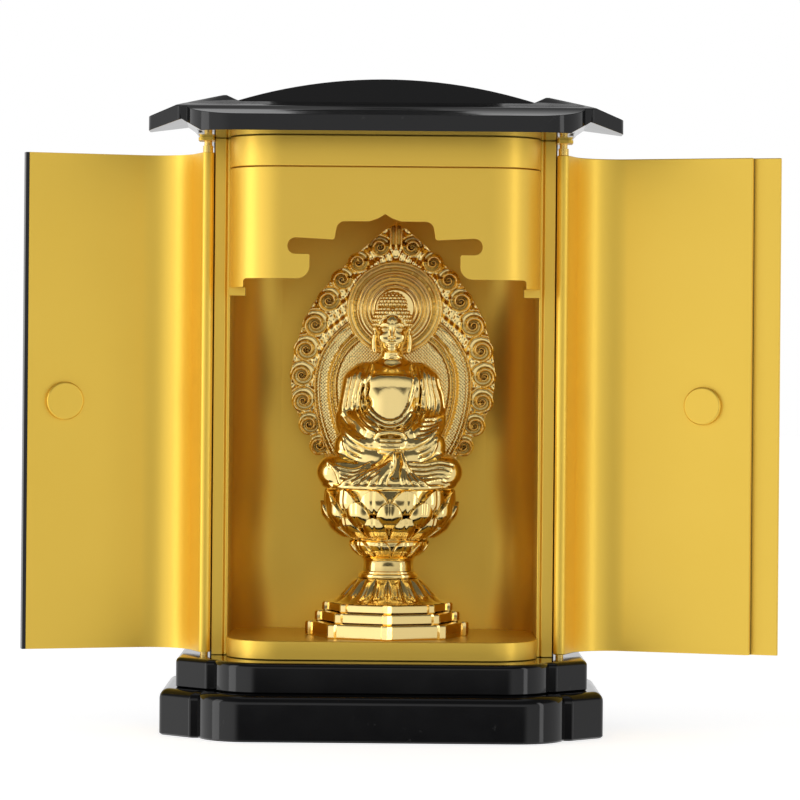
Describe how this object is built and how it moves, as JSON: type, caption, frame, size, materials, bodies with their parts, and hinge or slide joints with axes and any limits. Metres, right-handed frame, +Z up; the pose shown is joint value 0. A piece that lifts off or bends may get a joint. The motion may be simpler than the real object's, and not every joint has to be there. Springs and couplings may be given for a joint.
{
  "type": "cabinet shrine with buddha statue",
  "caption": "Small cabinet shrine with two curved doors on pivot pins, holding a seated Buddha statue on a lotus stand in front of a pointed mandorla",
  "frame": {"origin": "centre of the base's underside", "axes": "+X to the right seen from the front, +Y to the back, +Z up; the doors and the statue face -Y"},
  "size_m": [0.125, 0.053, 0.1067],
  "materials": {
    "black_plastic": "gloss black moulding",
    "door_gold": "satin gold",
    "cabinet_gold": "satin gold",
    "gold_plating": "polished gold plating on a casting",
    "brass_fittings": "satin gold",
    "screw_steel": "plain"
  },
  "bodies": {
    "shrine": {"lower_plinth": "black_plastic", "upper_plinth": "black_plastic", "underside_cover": "black_plastic", "base_screws": "screw_steel", "back_shell": "black_plastic", "inner_liner": "cabinet_gold", "left_jamb": "cabinet_gold", "right_jamb": "cabinet_gold", "floor_plate": "cabinet_gold", "ceiling_plate": "cabinet_gold", "frieze": "cabinet_gold", "valance": "cabinet_gold", "valance_tabs": "cabinet_gold", "roof": "black_plastic", "roof_soffit": "black_plastic", "pivot_pads": "cabinet_gold", "roof_screws": "screw_steel", "pedestal_foot": "gold_plating", "lower_lotus": "gold_plating", "stand_stem": "gold_plating", "calyx": "gold_plating", "lotus_bowl": "gold_plating", "buddha_figure": "gold_plating", "mandorla": "gold_plating", "statue_tie_bolt": "screw_steel"},
    "left_door": {"left_door_shell": "black_plastic", "left_door_lining": "door_gold", "left_door_pins": "brass_fittings", "left_disc_cap": "door_gold", "left_door_pull": "brass_fittings"},
    "right_door": {"right_door_shell": "black_plastic", "right_door_lining": "door_gold", "right_door_lip": "door_gold", "right_door_pins": "brass_fittings", "right_disc_cap": "door_gold", "right_door_pull": "brass_fittings"}
  },
  "joints": [
    {"name": "left_door_hinge", "type": "hinge", "parent": "shrine", "child": "left_door", "pos_m": [-0.0292, -0.0055, 0.0539], "axis": [0, 0, 1], "range_deg": [-14, 161]},
    {"name": "right_door_hinge", "type": "hinge", "parent": "shrine", "child": "right_door", "pos_m": [0.0292, -0.0055, 0.0539], "axis": [0, 0, -1], "range_deg": [-14, 161]}
  ]
}
